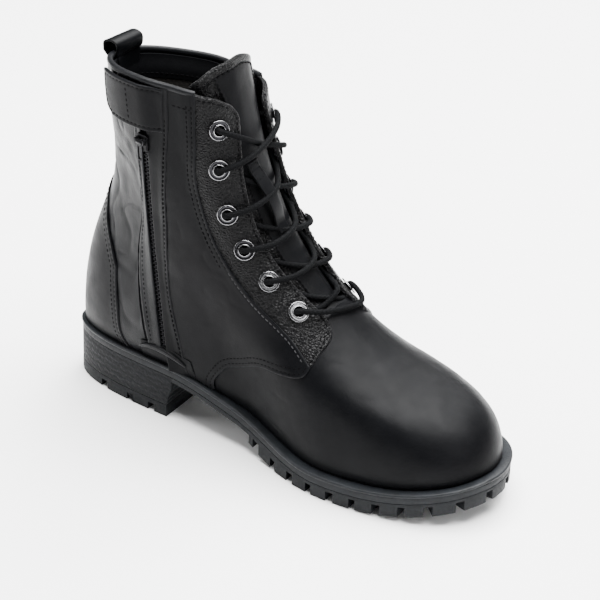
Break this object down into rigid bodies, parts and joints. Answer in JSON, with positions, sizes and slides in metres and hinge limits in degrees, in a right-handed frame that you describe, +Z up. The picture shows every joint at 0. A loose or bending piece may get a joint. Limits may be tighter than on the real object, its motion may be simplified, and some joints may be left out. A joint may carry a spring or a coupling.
{
  "type": "ankle boot",
  "caption": "Black leather lace-up ankle boot with a zip on the inner side, a closure tab, a pull loop and a lugged rubber sole with a separate heel.",
  "frame": {"origin": "on the ground under the middle of the boot's overall box", "axes": "+X towards the toe, +Y towards the outer side of this left boot, +Z up"},
  "size_m": [0.2975, 0.109, 0.2365],
  "materials": {
    "leather": "smooth semi-matt grained",
    "facing_leather": "pebbled, matt",
    "tongue_leather": "soft, slight sheen",
    "lining": "knitted, matt",
    "sole_rubber": "moulded, matt",
    "midsole_rubber": "moulded, matt",
    "welt_rubber": "moulded, satin",
    "insole_board": "pressed fibre board",
    "footbed_fabric": "woven top cloth",
    "stiffener": "thermoplastic",
    "hook_and_loop": "pile",
    "steel": "brushed",
    "eyelet_metal": "polished dark nickel",
    "zip_metal": "blackened",
    "zip_tape": "woven",
    "lace": "braided",
    "lace_tip": "clear film over the braid"
  },
  "bodies": {
    "boot": {"outsole": "sole_rubber", "midsole": "midsole_rubber", "welt": "welt_rubber", "heel_block": "sole_rubber", "heel_top_piece": "sole_rubber", "insole_board": "insole_board", "shank": "steel", "footbed": "footbed_fabric", "vamp": "leather", "medial_quarter": "leather", "zip_front_strip": "leather", "zip_rear_strip": "leather", "medial_rear_quarter": "leather", "heel_counter": "leather", "lateral_quarter": "leather", "lateral_rear_quarter": "leather", "medial_facing": "facing_leather", "lateral_facing": "facing_leather", "tongue": "tongue_leather", "lace_keeper": "tongue_leather", "toe_puff": "stiffener", "counter_stiffener": "stiffener", "medial_lining": "lining", "lateral_lining": "lining", "vamp_lining": "lining", "pull_loop": "leather", "loop_pad": "hook_and_loop", "medial_eyelets": "eyelet_metal", "lateral_eyelets": "eyelet_metal", "medial_washers": "eyelet_metal", "lateral_washers": "eyelet_metal", "zip_tape": "zip_tape", "zip_teeth_front": "zip_metal", "zip_teeth_rear": "zip_metal", "zip_top_stop": "zip_metal", "zip_bottom_stop": "zip_metal", "lace": "lace", "lace_tips": "lace_tip"},
    "slider": {"zip_slider": "zip_metal"},
    "puller": {"zip_puller": "zip_metal"},
    "tab": {"closure_tab": "leather", "hook_pad": "hook_and_loop"}
  },
  "joints": [
    {"name": "zip_run", "type": "hinge", "parent": "boot", "child": "slider", "pos_m": [0.29672, -0.38038, 0.13166], "axis": [-0.6783, -0.7305, -0.0795], "range_deg": [0, 14.6]},
    {"name": "puller_swing", "type": "hinge", "parent": "slider", "child": "puller", "pos_m": [-0.08073, -0.04088, 0.18788], "axis": [-0.9928, 0.1129, 0.0396], "range_deg": [0, 150]},
    {"name": "tab_hinge", "type": "hinge", "parent": "boot", "child": "tab", "pos_m": [-0.07506, -0.04113, 0.20903], "axis": [-0.1141, -0.0654, 0.9913], "range_deg": [0, 110]}
  ]
}
